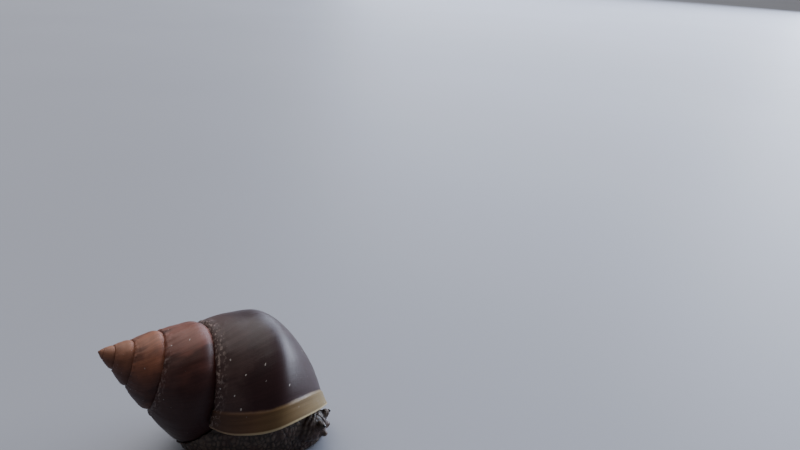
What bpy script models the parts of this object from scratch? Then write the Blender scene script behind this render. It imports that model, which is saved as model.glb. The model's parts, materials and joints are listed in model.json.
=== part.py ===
"""Giant African land snail at rest, drawn back into its shell.

The shell is a right-handed helico-spiral.  Its whorls, lip, columella and apex
are separate closed solids, and so are the parts of the contracted body below it.
Units are metres, +Z is up, the apex points to -X and the lip opens towards -Y.
"""

import math

import bmesh
import bpy
from mathutils import Matrix, Vector

# Driving dimensions of the shell
SHELL_LENGTH = 0.070  # apex to base, along the coiling axis
SPIRE_SLOPE = 0.497  # suture radius for each unit of depth, the cone of the spire
SUTURE_DEPTH = 0.451 * SHELL_LENGTH  # depth of the suture at turn 0, from the cone's own tip
APEX_DEPTH = 0.080 * SHELL_LENGTH  # lengths along the axis count from this depth
TIP_DEPTH = 0.087 * SHELL_LENGTH  # the rounded tip cuts the cone off at this depth
TIP_TAPER = 0.70  # the first whorls are narrower than the cone, by up to this share
TAPER_DEPTH = 0.33 * SHELL_LENGTH  # the spire keeps to the cone from this depth on
GROWTH = 0.445  # natural logarithm of the growth in one turn
GROWTH_GAIN = 0.018  # how much faster growth gets with each turn
WHORL_BULGE = 0.087  # bulge between two sutures, as a share of their distance
BASE_BULGE = 0.114  # bulge of the base below the whorl's shoulder
BASE_DEPTH = 2.308  # depth of the base, as a multiple of the suture's depth
BASE_RADIUS = 0.122  # radius of the base's end, as a multiple of the suture's depth
LIP_TURN = 0.279  # turn where the outer lip meets the suture
LIP_SLANT = 0.166  # turns by which the lip lies further back at its base
SUTURE_DROP = 0.112  # extra fall of the suture just before the lip
DROP_TURNS = 0.45  # length of that fall

# Cuts between the solids
GAP = 0.0003
BODY_START = LIP_TURN - 1.0  # the body whorl is the last full turn
HOLLOW_START = 0.03  # turn where the inside of the aperture begins
BAND_TURNS = 0.050  # length of the pale growth band that forms the lip
WALL = 0.0013  # thickness of the shell's wall round the aperture
LIP_FLARE = 0.0005  # how far the lip stands out past the older shell
CORE_RADIUS = 0.0021  # radius of the axial space that holds the columella
APEX_CORE_RADIUS = 0.0012
WALL_EDGE = 0.020  # share of the section left free where the wall meets the older whorl
COLUMELLA_TURN = -1.7  # the columella starts at this suture's depth
COLUMELLA_REACH = 0.45  # and ends where the base stands this many turns into the body whorl
TRANSITION = 0.012  # turns over which a section changes shape at the hollow
WHORL_POINTS = 11
SPIRE_POINTS = 7
WHORL_STEPS = 32
SHOWING_STEPS = 8  # sections of the older whorl where it shows inside the aperture
APERTURE_STEPS = 9  # sections of the wall round the aperture
LIP_STEPS = 4
DOME_STEPS = 24
DOME_LEVELS = 6
DOME_SEAM = 0.4  # the dome's first and last sections stand this many steps closer
WALL_THIN = 0.3  # the wall's thickness at the suture, as a share of the whole
WALL_GAIN = 6  # and how fast it grows from there
CREASE_ANGLE = math.radians(35)  # edges sharper than this stay sharp
COLUMELLA_SIDES = 16

# How the shell lies
AXIS_TILT = math.radians(27.7)  # the apex is raised by this much
AXIS_SPIN = math.radians(1.8)
SHELL_CLEARANCE = 0.0022  # the foot lies between the shell and the floor

# Contracted body, with x measured from the apex and y from the axis
FOOT_CENTRE = Vector((0.0425, -0.0065))
FOOT_HALF_LENGTH = 0.0245
FOOT_HALF_WIDTH = 0.0150
FOOT_STEPS = 32
FOOT_TAPER = 0.22  # the tail end is narrower by this share
FOOT_PROFILE = (  # height, spread to the sides and the tail, spread to the front
    (0.0000, 0.80, 0.85),
    (0.0006, 0.86, 0.89),
    (0.0018, 0.90, 0.90),
    (0.0040, 0.94, 0.85),
    (0.0070, 0.98, 0.76),
    (0.0100, 1.00, 0.70),
    (0.0130, 0.97, 0.66),
    (0.0155, 0.86, 0.58),
    (0.0175, 0.66, 0.46),
)
TAIL_END = 0.0300  # where the tail's part of the foot ends
MIDDLE_END = 0.0460  # and where the middle part ends
COLLAR_PROFILE = (  # turns behind the lip, distance from the shell's wall
    (0.070, 0.0003),
    (0.045, 0.0003),
    (0.022, 0.0003),
    (0.006, 0.0004),
    (-0.002, 0.0010),
    (-0.007, 0.0022),
)
COLLAR_TOP = 0.10  # shares of the section between which the collar lies
COLLAR_BOTTOM = 0.98
COLLAR_START = 0.12  # the collar leaves the suture by this many points on the older whorl
COLLAR_BASE_POINTS = 3  # its last points run along the columella
COLLAR_INNER_RADIUS = 0.0026  # the collar's edge beside the columella
COLLAR_BASE = 0.95  # and how far down the aperture it reaches there
HEAD_CENTRE = Vector((0.0568, -0.0120, 0.0075))  # height above the floor
HEAD_SIZE = Vector((0.0070, 0.0064, 0.0055))  # half sizes
HEAD_TURN = math.radians(-24)  # the head looks forward and towards the lip
HEAD_STEPS = 20
UPPER_TENTACLE = (0.0015, 30, 24)  # radius, degrees off the middle, degrees up
LOWER_TENTACLE = (0.0010, 20, -14)
TENTACLE_STEPS = 12
EYE_RADIUS = 0.0006
EYE_GAP = 0.0001  # the eye is too small for the full gap
SLICE_REACH = 0.05  # the slicing boxes reach this far past the foot's middle

AXIS = Vector((math.cos(AXIS_TILT), 0.0, -math.sin(AXIS_TILT)))
TOP_SIDE = Vector((math.sin(AXIS_TILT), 0.0, math.cos(AXIS_TILT)))
LIP_SIDE = AXIS.cross(TOP_SIDE)


def clear_scene():
    for old in list(bpy.data.objects):
        bpy.data.objects.remove(old, do_unlink=True)


def new_collection(name):
    found = bpy.data.collections.new(name)
    bpy.context.scene.collection.children.link(found)
    return found


def material(name, colour, roughness):
    made = bpy.data.materials.new(name)
    made.use_nodes = True
    shader = made.node_tree.nodes["Principled BSDF"]
    shader.inputs["Base Color"].default_value = (*colour, 1.0)
    shader.inputs["Roughness"].default_value = roughness
    shader.inputs["Metallic"].default_value = 0.0
    return made


# The spiral


def suture_depth(turn):
    return SUTURE_DEPTH * math.exp(GROWTH * turn + GROWTH_GAIN * turn * turn)


def plain_suture(turn):
    """Radius and depth of the suture on the spire, which is a cone that tapers to its tip."""
    depth = suture_depth(turn)
    nearness = max(0.0, (TAPER_DEPTH - depth) / (TAPER_DEPTH - TIP_DEPTH))
    return Vector((SPIRE_SLOPE * depth * (1.0 - TIP_TAPER * nearness**2), depth))


def suture(turn):
    """The suture, which slides further down the older whorl near the lip."""
    late = (turn - LIP_TURN + DROP_TURNS) / DROP_TURNS
    if late <= 0.0:
        return plain_suture(turn)
    depth = suture_depth(turn) * (1.0 + SUTURE_DROP * late * late)
    return outline(turn - 1.0, share_at_depth(turn - 1.0, depth))


def outward(chord):
    return Vector((chord.y, -chord.x))


def outline_knots(turn):
    """The points that give the whorl's section its shape, from the suture to the base."""
    upper = suture(turn)
    lower = plain_suture(turn + 1.0)
    depth = suture_depth(turn)
    base = Vector((BASE_RADIUS * depth, BASE_DEPTH * depth))
    side = lower - upper
    underside = base - lower
    return (
        upper,
        upper + 0.5 * side + WHORL_BULGE * outward(side),
        lower,
        lower + 0.5 * underside + BASE_BULGE * outward(underside),
        base,
    )


def smooth_curve(knots, share):
    """A smooth curve through the knots, at a share of the way from the first to the last."""
    spans = len(knots) - 1
    index = min(int(share * spans), spans - 1)
    u = share * spans - index

    def slope(i):
        if i == 0:
            return 2 * (knots[1] - knots[0]) - slope(1)
        if i == spans:
            return 2 * (knots[-1] - knots[-2]) - slope(spans - 1)
        return (knots[i + 1] - knots[i - 1]) / 2

    return (
        (2 * u**3 - 3 * u**2 + 1) * knots[index]
        + (u**3 - 2 * u**2 + u) * slope(index)
        + (3 * u**2 - 2 * u**3) * knots[index + 1]
        + (u**3 - u**2) * slope(index + 1)
    )


def outline(turn, share, distance=0.0):
    """The whorl's section: share 0 is the suture, 1 the base; distance moves it outwards."""
    knots = outline_knots(turn)
    point = smooth_curve(knots, share)
    if distance:
        ahead = smooth_curve(knots, min(share + 0.01, 1.0))
        behind = smooth_curve(knots, max(share - 0.01, 0.0))
        point = point + distance * outward(ahead - behind).normalized()
    return point


def share_at_depth(turn, depth):
    """Where the section of this turn reaches a depth."""
    knots = outline_knots(turn)
    low, high = 0.3, 1.0
    for _ in range(24):
        middle = (low + high) / 2
        if smooth_curve(knots, middle).y < depth:
            low = middle
        else:
            high = middle
    return low


def lip_turn(share):
    return LIP_TURN - LIP_SLANT * share


def shell_point(turn, section_point, along_growth=0.0):
    """World position of a section point, moved a little along the direction of growth."""
    angle = 2 * math.pi * turn + AXIS_SPIN
    radial = math.cos(angle) * TOP_SIDE + math.sin(angle) * LIP_SIDE
    tangent = AXIS.cross(radial)
    depth = section_point.y - APEX_DEPTH
    return AXIS * depth + radial * section_point.x + tangent * along_growth


def turn_steps(start, end):
    """Turns from start to end on one grid for all whorls, so that neighbours' faces match."""
    turns = []
    turn = start
    while turn < end - 0.3 / WHORL_STEPS:
        turns.append(turn)
        turn += 1.0 / WHORL_STEPS
    return turns + [end]


# Meshes


def mesh_object(name, verts, faces, collection, finish=None):
    mesh = bpy.data.meshes.new(name)
    mesh.from_pydata([tuple(v) for v in verts], [], faces)
    shape = bmesh.new()
    shape.from_mesh(mesh)
    bmesh.ops.recalc_face_normals(shape, faces=shape.faces)
    if shape.calc_volume(signed=True) < 0:
        bmesh.ops.reverse_faces(shape, faces=shape.faces)
    shape.to_mesh(mesh)
    shape.free()
    mesh.shade_smooth()
    mesh.set_sharp_from_angle(angle=CREASE_ANGLE)
    if finish:
        mesh.materials.append(finish)
    made = bpy.data.objects.new(name, mesh)
    collection.objects.link(made)
    return made


def mesh_from_shape(name, shape, collection, finish=None):
    """An object from a shape built by operators."""
    verts = [v.co.copy() for v in shape.verts]
    faces = [tuple(v.index for v in face.verts) for face in shape.faces]
    shape.free()
    return mesh_object(name, verts, faces, collection, finish)


def loft(name, rings, collection, finish=None):
    """A solid through closed rings whose second half runs back along the first.

    The diagonals turn round halfway, so that the facing sides of two whorls are cut alike.
    """
    count = len(rings[0])
    verts = [point for ring in rings for point in ring]
    faces = []
    for r in range(len(rings) - 1):
        for i in range(count):
            j = (i + 1) % count
            a, b = r * count, (r + 1) * count
            if i < count // 2:
                faces.extend([(a + i, a + j, b + j), (a + i, b + j, b + i)])
            else:
                faces.extend([(a + i, a + j, b + i), (a + j, b + j, b + i)])
    last = (len(rings) - 1) * count
    for start in (0, last):
        for i in range(count // 2 - 1):
            near, far = start + i, start + count - 1 - i
            faces.extend([(near, near + 1, far - 1), (near, far - 1, far)])
    return mesh_object(name, verts, faces, collection, finish)


def wedge_ring(turn, lower_share, core, points, along_growth=0.0, grow=0.0):
    """A filled section: down the outer curve to lower_share, then back up the core."""
    half_gap = GAP / 2 - grow
    steps = points - 1
    outer = [outline(turn, lower_share * i / steps, grow) for i in range(points)]
    outer[0] = outer[0] + Vector((0.0, half_gap))
    outer[-1] = outer[-1] - Vector((0.0, half_gap))
    rise = outer[0].y - outer[-1].y
    inner = [Vector((core - grow, outer[-1].y + rise * i / steps)) for i in range(points)]
    return [shell_point(turn, p, along_growth) for p in outer + inner]


def wall_ring(turn_at, points, flare=0.0, along_growth=0.0, grow=0.0):
    """A thin section: down the outer curve, then back at the wall's depth."""
    outer, inner = [], []
    for i in range(points):
        share = WALL_EDGE + (1 - WALL_EDGE) * i / (points - 1)
        outside = outline(turn_at(share), share, flare + grow)
        outer.append(shell_point(turn_at(share), outside, along_growth))
        inner_share = min(max(share, 4 * WALL_EDGE), 1 - WALL_EDGE)
        thickness = WALL * min(1.0, WALL_THIN + WALL_GAIN * share)
        inside = outline(turn_at(inner_share), inner_share, flare - thickness - grow)
        inner.append(shell_point(turn_at(inner_share), inside, along_growth))
    return outer + inner[::-1]


# The shell


def wedge_rings(start, end, core, points, grow):
    """Sections that reach down to the next whorl's suture."""
    rings = []
    for turn in turn_steps(start, end):
        along = (GAP / 2 - grow) if turn == start else 0.0
        share = share_at_depth(turn, suture(turn + 1.0).y)
        rings.append(wedge_ring(turn, share, core, points, along, grow))
    return rings


def spire_whorl(name, end, core, collection, finish):
    """One full turn of the spire, which ends at `end`."""
    rings = wedge_rings(end - 1.0, end, core, SPIRE_POINTS, 0.0)[:-1]
    share = share_at_depth(end, suture(end + 1.0).y)
    rings.append(wedge_ring(end, share, core, SPIRE_POINTS, -GAP / 2))
    return loft(name, rings, collection, finish)


def penultimate_whorl(name, collection, finish=None, grow=0.0):
    """The whorl before the last; its base shows inside the aperture, so it is whole there."""
    shows = HOLLOW_START - 1.0
    rings = wedge_rings(BODY_START - 1.0, shows, CORE_RADIUS, WHORL_POINTS, grow)
    first = shows + TRANSITION
    for i in range(SHOWING_STEPS + 1):
        turn = first + (BODY_START - first) * i / SHOWING_STEPS
        along = (grow - GAP / 2) if i == SHOWING_STEPS else 0.0
        rings.append(wedge_ring(turn, 1.0, CORE_RADIUS, WHORL_POINTS, along, grow))
    return loft(name, rings, collection, finish)


def body_whorl(name, collection, finish=None, grow=0.0):
    """The last turn: filled at first, then a thin wall round the aperture's hollow."""
    rings = []
    for turn in turn_steps(BODY_START, HOLLOW_START - TRANSITION):
        along = (GAP / 2 - grow) if turn == BODY_START else 0.0
        rings.append(wedge_ring(turn, 1.0, CORE_RADIUS, WHORL_POINTS, along, grow))
    for i in range(APERTURE_STEPS + 1):
        part = i / APERTURE_STEPS

        def turn_at(share, part=part):
            return HOLLOW_START + (lip_turn(share) - BAND_TURNS - HOLLOW_START) * part

        along = (grow - GAP) if i == APERTURE_STEPS else 0.0
        rings.append(wall_ring(turn_at, WHORL_POINTS, 0.0, along, grow))
    return loft(name, rings, collection, finish)


def outer_lip(name, collection, finish=None, grow=0.0):
    """The growth band that ends in the free edge of the aperture."""
    rings = []
    for i in range(LIP_STEPS + 1):
        part = i / LIP_STEPS

        def turn_at(share, part=part):
            return lip_turn(share) - BAND_TURNS * (1 - part)

        along = (GAP - grow) * (i == 0) + grow * (i == LIP_STEPS)
        rings.append(wall_ring(turn_at, WHORL_POINTS, LIP_FLARE, along, grow))
    return loft(name, rings, collection, finish)


def apex_dome(name, end, collection, finish):
    """The blunt embryonic shell: a dome whose rim follows the next whorl's suture."""
    steps, levels = DOME_STEPS, DOME_LEVELS
    tip = shell_point(0.0, Vector((0.0, TIP_DEPTH)))
    floor_depth = suture(end).y - GAP
    bottom = shell_point(0.0, Vector((0.0, floor_depth)))
    verts = [tip, bottom]
    for k in range(steps):
        turn = end - 1.0 + k / (steps - DOME_SEAM)
        rim = suture(turn + 1.0)
        for j in range(1, levels + 1):
            lean = 0.5 * math.pi * j / levels
            radius = rim.x * math.sin(lean)
            depth = rim.y - GAP / 2 - (rim.y - GAP / 2 - TIP_DEPTH) * math.cos(lean)
            verts.append(shell_point(turn, Vector((radius, depth))))
        verts.append(shell_point(turn, Vector((APEX_CORE_RADIUS, rim.y - GAP / 2))))
    faces = []
    row = levels + 1
    for k in range(steps):
        here = 2 + k * row
        there = 2 + (k + 1) % steps * row
        faces.append((0, here, there))
        for j in range(levels):
            faces.append((here + j, here + j + 1, there + j + 1, there + j))
        faces.append((here + levels, 1, there + levels))
    return mesh_object(name, verts, faces, collection, finish)


def columella(name, collection, finish, grow=0.0):
    """The pillar on the axis, cut short at the base of the aperture."""
    top = suture(COLUMELLA_TURN).y
    bottom = BASE_DEPTH * suture_depth(BODY_START + COLUMELLA_REACH)
    shape = bmesh.new()
    bmesh.ops.create_cone(
        shape,
        cap_ends=True,
        segments=COLUMELLA_SIDES,
        radius1=CORE_RADIUS - GAP + grow,
        radius2=CORE_RADIUS - GAP + grow,
        depth=bottom - top + 2 * grow,
    )
    turned = AXIS.to_track_quat("Z", "Y").to_matrix().to_4x4()
    bmesh.ops.transform(shape, matrix=turned, verts=shape.verts)
    middle = AXIS * ((top + bottom) / 2 - APEX_DEPTH)
    bmesh.ops.translate(shape, vec=middle, verts=shape.verts)
    return mesh_from_shape(name, shape, collection, finish)


# The body


def foot_outline(level, part, floor, grow):
    """A point on the foot's outline at one level of the profile."""
    height, spread, front_spread = level
    angle = 2 * math.pi * part
    narrow = 1.0 - FOOT_TAPER * (0.5 - 0.5 * math.cos(angle))
    length = FOOT_HALF_LENGTH * (front_spread if math.cos(angle) > 0 else spread)
    x = FOOT_CENTRE.x + (length + grow) * math.cos(angle)
    y = FOOT_CENTRE.y + (spread * FOOT_HALF_WIDTH * narrow + grow) * math.sin(angle)
    return Vector((x, y, floor + height + grow))


def foot_mound(name, floor, collection, finish=None, grow=0.0):
    """The contracted foot and mantle as one mound with a flat sole."""
    verts = []
    for level in FOOT_PROFILE:
        for i in range(FOOT_STEPS):
            verts.append(foot_outline(level, i / FOOT_STEPS, floor, grow))
    last = (len(FOOT_PROFILE) - 1) * FOOT_STEPS
    faces = [tuple(range(FOOT_STEPS)), tuple(range(last, last + FOOT_STEPS))]
    for a in range(0, last, FOOT_STEPS):
        b = a + FOOT_STEPS
        for i in range(FOOT_STEPS):
            j = (i + 1) % FOOT_STEPS
            faces.append((a + i, a + j, b + j, b + i))
    return mesh_object(name, verts, faces, collection, finish)


def collar_ring(back, inset):
    """The aperture's section: down inside the outer wall, back up over the older whorl."""
    last = WHORL_POINTS - 1
    on_whorl = last - COLLAR_BASE_POINTS
    outer, inner = [], []
    for i in range(WHORL_POINTS):
        share = COLLAR_TOP + (COLLAR_BOTTOM - COLLAR_TOP) * i / last
        turn = lip_turn(share) - back
        outer.append(shell_point(turn, outline(turn, share, -WALL - inset)))
        start = share_at_depth(turn - 1.0, suture(turn).y)
        along = start + (1.0 - start) * min(1.0, (COLLAR_START + i) / on_whorl)
        if i <= on_whorl:
            point = outline(turn - 1.0, along, GAP + inset)
        else:
            top = BASE_DEPTH * suture_depth(turn - 1.0)
            bottom = COLLAR_BASE * BASE_DEPTH * suture_depth(turn)
            depth = top + (bottom - top) * (i - on_whorl) / COLLAR_BASE_POINTS
            point = Vector((COLLAR_INNER_RADIUS + inset, depth))
        inner.append(shell_point(turn, point))
    return outer + inner[::-1]


def mantle_collar(name, collection, finish=None):
    """The mantle's thick edge, which fills the aperture just inside the lip."""
    rings = [collar_ring(back, inset) for back, inset in COLLAR_PROFILE]
    return loft(name, rings, collection, finish)


def ball(name, centre, half_sizes, turned, steps, collection, finish=None):
    """An egg-shaped solid."""
    shape = bmesh.new()
    bmesh.ops.create_uvsphere(shape, u_segments=steps, v_segments=steps // 2, radius=1.0)
    bmesh.ops.scale(shape, vec=half_sizes, verts=shape.verts)
    bmesh.ops.rotate(shape, matrix=turned, verts=shape.verts)
    bmesh.ops.translate(shape, vec=centre, verts=shape.verts)
    return mesh_from_shape(name, shape, collection, finish)


def block(name, low, high, collection):
    """A box between two corners."""
    shape = bmesh.new()
    bmesh.ops.create_cube(shape, size=1.0)
    bmesh.ops.scale(shape, vec=high - low, verts=shape.verts)
    bmesh.ops.translate(shape, vec=(low + high) / 2, verts=shape.verts)
    return mesh_from_shape(name, shape, collection)


def combine(target, operation, other):
    step = target.modifiers.new(other.name, "BOOLEAN")
    step.operation = operation
    step.solver = "EXACT"
    step.object = other


def hide_cutters(collection):
    for cutter in collection.objects:
        cutter.hide_render = True
        cutter.display_type = "WIRE"


def head_direction(degrees_off, degrees_up):
    off, up = math.radians(degrees_off), math.radians(degrees_up)
    return Vector((math.cos(off) * math.cos(up), math.sin(off) * math.cos(up), math.sin(up)))


def head_point(direction, floor, further=0.0):
    """A point on the head's surface, or a little beyond it."""
    sized = Vector((direction[i] * HEAD_SIZE[i] for i in range(3))) + direction * further
    return HEAD_CENTRE + Vector((0.0, 0.0, floor)) + HEAD_TURNED @ sized


def head_ball(name, floor, collection, finish=None, grow=0.0):
    centre = HEAD_CENTRE + Vector((0.0, 0.0, floor))
    sizes = HEAD_SIZE + Vector((grow, grow, grow))
    return ball(name, centre, sizes, HEAD_TURNED, HEAD_STEPS, collection, finish)


def small_ball(name, centre, radius, collection, finish=None):
    sizes = Vector((radius, radius, radius))
    return ball(name, centre, sizes, HEAD_TURNED, TENTACLE_STEPS, collection, finish)


def tentacle(name, measures, side, floor, head_space):
    """A tentacle drawn in to a low knob on the head."""
    radius, off, up = measures
    centre = head_point(head_direction(side * off, up), floor)
    knob = small_ball(name, centre, radius, model, flesh)
    combine(knob, "DIFFERENCE", head_space)


def eye_bead(name, side, floor):
    """The dark eye at the tip of an upper tentacle."""
    radius, off, up = UPPER_TENTACLE
    direction = head_direction(side * off, up)
    bead = small_ball(name, head_point(direction, floor, radius), EYE_RADIUS, model, eye)
    seat = small_ball(name + "_seat", head_point(direction, floor), radius + EYE_GAP, cutters)
    combine(bead, "DIFFERENCE", seat)


def foot_piece(name, x_low, x_high, floor, spaces):
    """A slice of the mound, clear of the shell and of the head."""
    piece = foot_mound(name, floor, model, flesh)
    for space in spaces:
        combine(piece, "DIFFERENCE", space)
    low = Vector((x_low, -SLICE_REACH, floor - GAP))
    high = Vector((x_high, SLICE_REACH, floor + SLICE_REACH))
    combine(piece, "INTERSECT", block(name + "_slice", low, high, cutters))


# The whole snail


def make_shell():
    apex_dome("shell_apex", BODY_START - 3.0, model, tan)
    spire_whorl("shell_whorl_3", BODY_START - 2.0, APEX_CORE_RADIUS, model, tan)
    spire_whorl("shell_whorl_4", BODY_START - 1.0, CORE_RADIUS, model, tan)
    penultimate_whorl("shell_penultimate_whorl", model, horn)
    body_whorl("shell_body_whorl", model, horn)
    outer_lip("shell_outer_lip", model, band)
    columella("shell_columella", model, tan)


def shell_spaces():
    """Cutters that keep the body clear of the shell; the lip's has to come first."""
    return [
        outer_lip("outer_lip_space", cutters, grow=GAP),
        penultimate_whorl("penultimate_space", cutters, grow=GAP),
        body_whorl("body_whorl_space", cutters, grow=GAP),
        columella("columella_space", cutters, None, grow=2 * GAP),
    ]


def make_foot(floor, shell_room, head_space):
    half = GAP / 2
    front = FOOT_CENTRE.x + SLICE_REACH
    back = FOOT_CENTRE.x - SLICE_REACH
    spaces = [*shell_room, head_space]
    foot_piece("foot_tail", back, TAIL_END - half, floor, spaces)
    foot_piece("foot_middle", TAIL_END + half, MIDDLE_END - half, floor, spaces)
    foot_piece("foot_front", MIDDLE_END + half, front, floor, spaces)


def make_collar(floor, columella_space, head_space):
    collar = mantle_collar("mantle_collar", model, flesh)
    mound_space = foot_mound("mound_space", floor, cutters, grow=GAP)
    for space in (mound_space, head_space, columella_space):
        combine(collar, "DIFFERENCE", space)


def make_head(floor, shell_room, head_space):
    head = head_ball("head", floor, model, flesh)
    for space in shell_room:
        combine(head, "DIFFERENCE", space)
    for word, side in (("left", 1), ("right", -1)):
        tentacle("upper_tentacle_" + word, UPPER_TENTACLE, side, floor, head_space)
        tentacle("lower_tentacle_" + word, LOWER_TENTACLE, side, floor, head_space)
        eye_bead("eye_" + word, side, floor)


def make_body(floor):
    shell_room = shell_spaces()
    head_space = head_ball("head_space", floor, cutters, grow=GAP)
    make_foot(floor, shell_room, head_space)
    make_collar(floor, shell_room[-1], head_space)
    make_head(floor, shell_room, head_space)


def finished_corners():
    """Lowest and highest corners of the finished solids."""
    depsgraph = bpy.context.evaluated_depsgraph_get()
    points = []
    for part in model.objects:
        finished = part.evaluated_get(depsgraph)
        points.extend(v.co.copy() for v in finished.data.vertices)
    low = Vector((min(p[i] for p in points) for i in range(3)))
    high = Vector((max(p[i] for p in points) for i in range(3)))
    return low, high


def move_to_base():
    """Puts the origin in the middle of the model's base."""
    low, high = finished_corners()
    middle = Vector(((low.x + high.x) / 2, (low.y + high.y) / 2, low.z))
    for part in [*model.objects, *cutters.objects]:
        part.data.transform(Matrix.Translation(-middle))


HEAD_TURNED = Matrix.Rotation(HEAD_TURN, 3, "Z")

clear_scene()
model = new_collection("giant_african_land_snail")
cutters = new_collection("cutters")
horn = material("shell_brown", (0.10, 0.045, 0.03), 0.4)
tan = material("shell_tan", (0.20, 0.10, 0.055), 0.45)
band = material("shell_band", (0.22, 0.15, 0.06), 0.4)
flesh = material("flesh", (0.05, 0.045, 0.04), 0.35)
eye = material("eye", (0.01, 0.01, 0.01), 0.2)

make_shell()
shell_low = min(v.co.z for part in model.objects for v in part.data.vertices)
make_body(shell_low - SHELL_CLEARANCE)
hide_cutters(cutters)
move_to_base()
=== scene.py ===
"""Giant African land snail at rest: the looks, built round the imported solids.

The shell is one coiled wall on the same spiral as the solids, with growth lines, flames and
wear.  One skin stands for all the nodes of flesh.  Lengths are metres, +Z is up.
"""

import json
import math

import bmesh
import bpy
import numpy as np
from mathutils import Matrix, Vector, noise
from mathutils.bvhtree import BVHTree

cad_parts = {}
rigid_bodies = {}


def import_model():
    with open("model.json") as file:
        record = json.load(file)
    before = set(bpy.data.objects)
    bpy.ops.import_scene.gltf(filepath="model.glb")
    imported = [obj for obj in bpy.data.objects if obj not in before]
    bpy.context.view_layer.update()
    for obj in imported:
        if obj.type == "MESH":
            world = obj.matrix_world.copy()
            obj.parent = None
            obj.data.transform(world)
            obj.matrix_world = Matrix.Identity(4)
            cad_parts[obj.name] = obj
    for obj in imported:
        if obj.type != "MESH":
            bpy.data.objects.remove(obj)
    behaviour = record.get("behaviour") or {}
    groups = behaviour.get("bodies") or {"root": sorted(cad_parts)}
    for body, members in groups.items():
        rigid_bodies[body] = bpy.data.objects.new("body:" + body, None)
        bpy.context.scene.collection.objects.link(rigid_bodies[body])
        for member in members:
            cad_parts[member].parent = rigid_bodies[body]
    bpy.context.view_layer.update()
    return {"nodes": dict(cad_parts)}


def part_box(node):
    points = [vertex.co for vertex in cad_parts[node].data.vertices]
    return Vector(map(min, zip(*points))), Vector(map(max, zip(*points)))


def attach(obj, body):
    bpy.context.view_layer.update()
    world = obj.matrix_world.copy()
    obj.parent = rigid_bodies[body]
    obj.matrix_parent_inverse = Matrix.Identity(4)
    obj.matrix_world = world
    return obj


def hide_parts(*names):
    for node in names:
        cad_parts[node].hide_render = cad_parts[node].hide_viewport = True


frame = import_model()

# The spiral, as in the solids
SHELL_LENGTH = 0.070
SPIRE_SLOPE = 0.497
SUTURE_DEPTH = 0.451 * SHELL_LENGTH
APEX_DEPTH = 0.080 * SHELL_LENGTH
TIP_DEPTH = 0.087 * SHELL_LENGTH
TIP_TAPER = 0.70
TAPER_DEPTH = 0.33 * SHELL_LENGTH
GROWTH = 0.445
GROWTH_GAIN = 0.018
WHORL_BULGE = 0.087
BASE_BULGE = 0.114
BASE_DEPTH = 2.308
BASE_RADIUS = 0.122
LIP_TURN = 0.279
LIP_SLANT = 0.166
SUTURE_DROP = 0.112
DROP_TURNS = 0.45
BAND_TURNS = 0.050
COLUMELLA_TURN = -1.7
COLUMELLA_REACH = 0.45
AXIS_TILT = math.radians(27.7)
AXIS_SPIN = math.radians(1.8)

AXIS = np.array((math.cos(AXIS_TILT), 0.0, -math.sin(AXIS_TILT)))
TOP_SIDE = np.array((math.sin(AXIS_TILT), 0.0, math.cos(AXIS_TILT)))
LIP_SIDE = np.cross(AXIS, TOP_SIDE)

# The fine shell
NUCLEUS_TURN = LIP_TURN - 4.0  # before this turn the whorls shrink faster, to the blunt tip
NUCLEUS_GROWTH = 1.05  # natural logarithm of that growth in one turn
FIRST_TURN = NUCLEUS_TURN - 2.8
STEP = 0.00037  # distance between two sections, along the whorl
FEWEST_STEPS = 26  # sections in one turn of the smallest whorls
OUTER_POINTS = 57
CROWDING = 1.25  # above 1, the points outside lie closer together near the suture
INNER_POINTS = 29  # one for every second point outside
INNER_SHARES = (0.985, 0.015)  # where the points inside start and end
TUCK_POINTS = 5  # the last points outside, which fold in to the columella
TUCK_RADIUS = 0.0011
TUCK_DROP = 0.35  # how far the fold hangs down, as a share of the section's inner radius
WALL = 0.0011
WALL_RADIUS = 0.012  # whorls smaller than this have a thinner wall
WALL_AT_SUTURE = 0.35  # the wall's thickness there, as a share of the whole
WALL_GAIN = 8.0
RIM = 0.0008  # the wall's thickness at the free lip
RIM_TURNS = 0.03  # the wall thins to the rim over these turns
RIM_RINGS = ((0.14, 0.20), (0.36, 0.32))  # inset and reach of the rounded rim, in rim thicknesses
LIP_FLARE = 0.0009
FLARE_STEP = 0.45  # the part of the flare that comes at once, where the band starts
STEP_SHARE = 0.10  # how much of the band that step takes
BAND_WAIST = 0.30  # how much narrower the band is at its waist
WAIST_WIDTH = 0.28
SUTURE_SINK = 0.0004  # the whorl's upper edge lies this deep in the older whorl
SINK_SHARE = 0.02

# The shell's relief: heights, and the radius below which a whorl has less of it
FOLD_HEIGHT = 0.00008
LINE_HEIGHT = 0.00004
DENT_HEIGHT = 0.00011
CRIMP_HEIGHT = 0.00016
BEAD_HEIGHT = 0.00018
SCALE_HEIGHT = 0.00030
RELIEF_RADIUS = 0.016
NOISE_CELLS = 64

# The skin
SKIN_MESH = 0.00028
SWELLING = 0.0002
SKIN_DEPTH = 0.0002  # the skin lies this deep in the solids, before its relief
REGION_BLEND = 0.0012  # width over which head, mantle and foot run into each other
WARP_APART = Vector((37.3, 11.9, 23.7))  # between the noises that shift a place along x, y and z
WARP_SIZE = 0.0005
TUBERCLE = 0.0011
TUBERCLE_SLOPE = 2.4
TUBERCLE_HEIGHT = 0.00019
SLACK_HEIGHT = 0.00026
CREASE_DEPTH = 0.00022
CREASE_WIDTH = 0.12
SOLE = 0.0004  # below this height the sole stays flat
SOLE_BLEND = 0.0007
SOLE_RISE = 0.0012  # below this height over the sole the skin reaches down to the floor
FOOT_EDGE = 0.0024
FOOT_EDGE_WIDTH = 0.00045
FOOT_EDGE_DEPTH = 0.00035
PAINTED_RELIEF_LIGHT = 1100.0  # painted highlight and shade: how much lighter the skin is painted for each metre that it stands out
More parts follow.
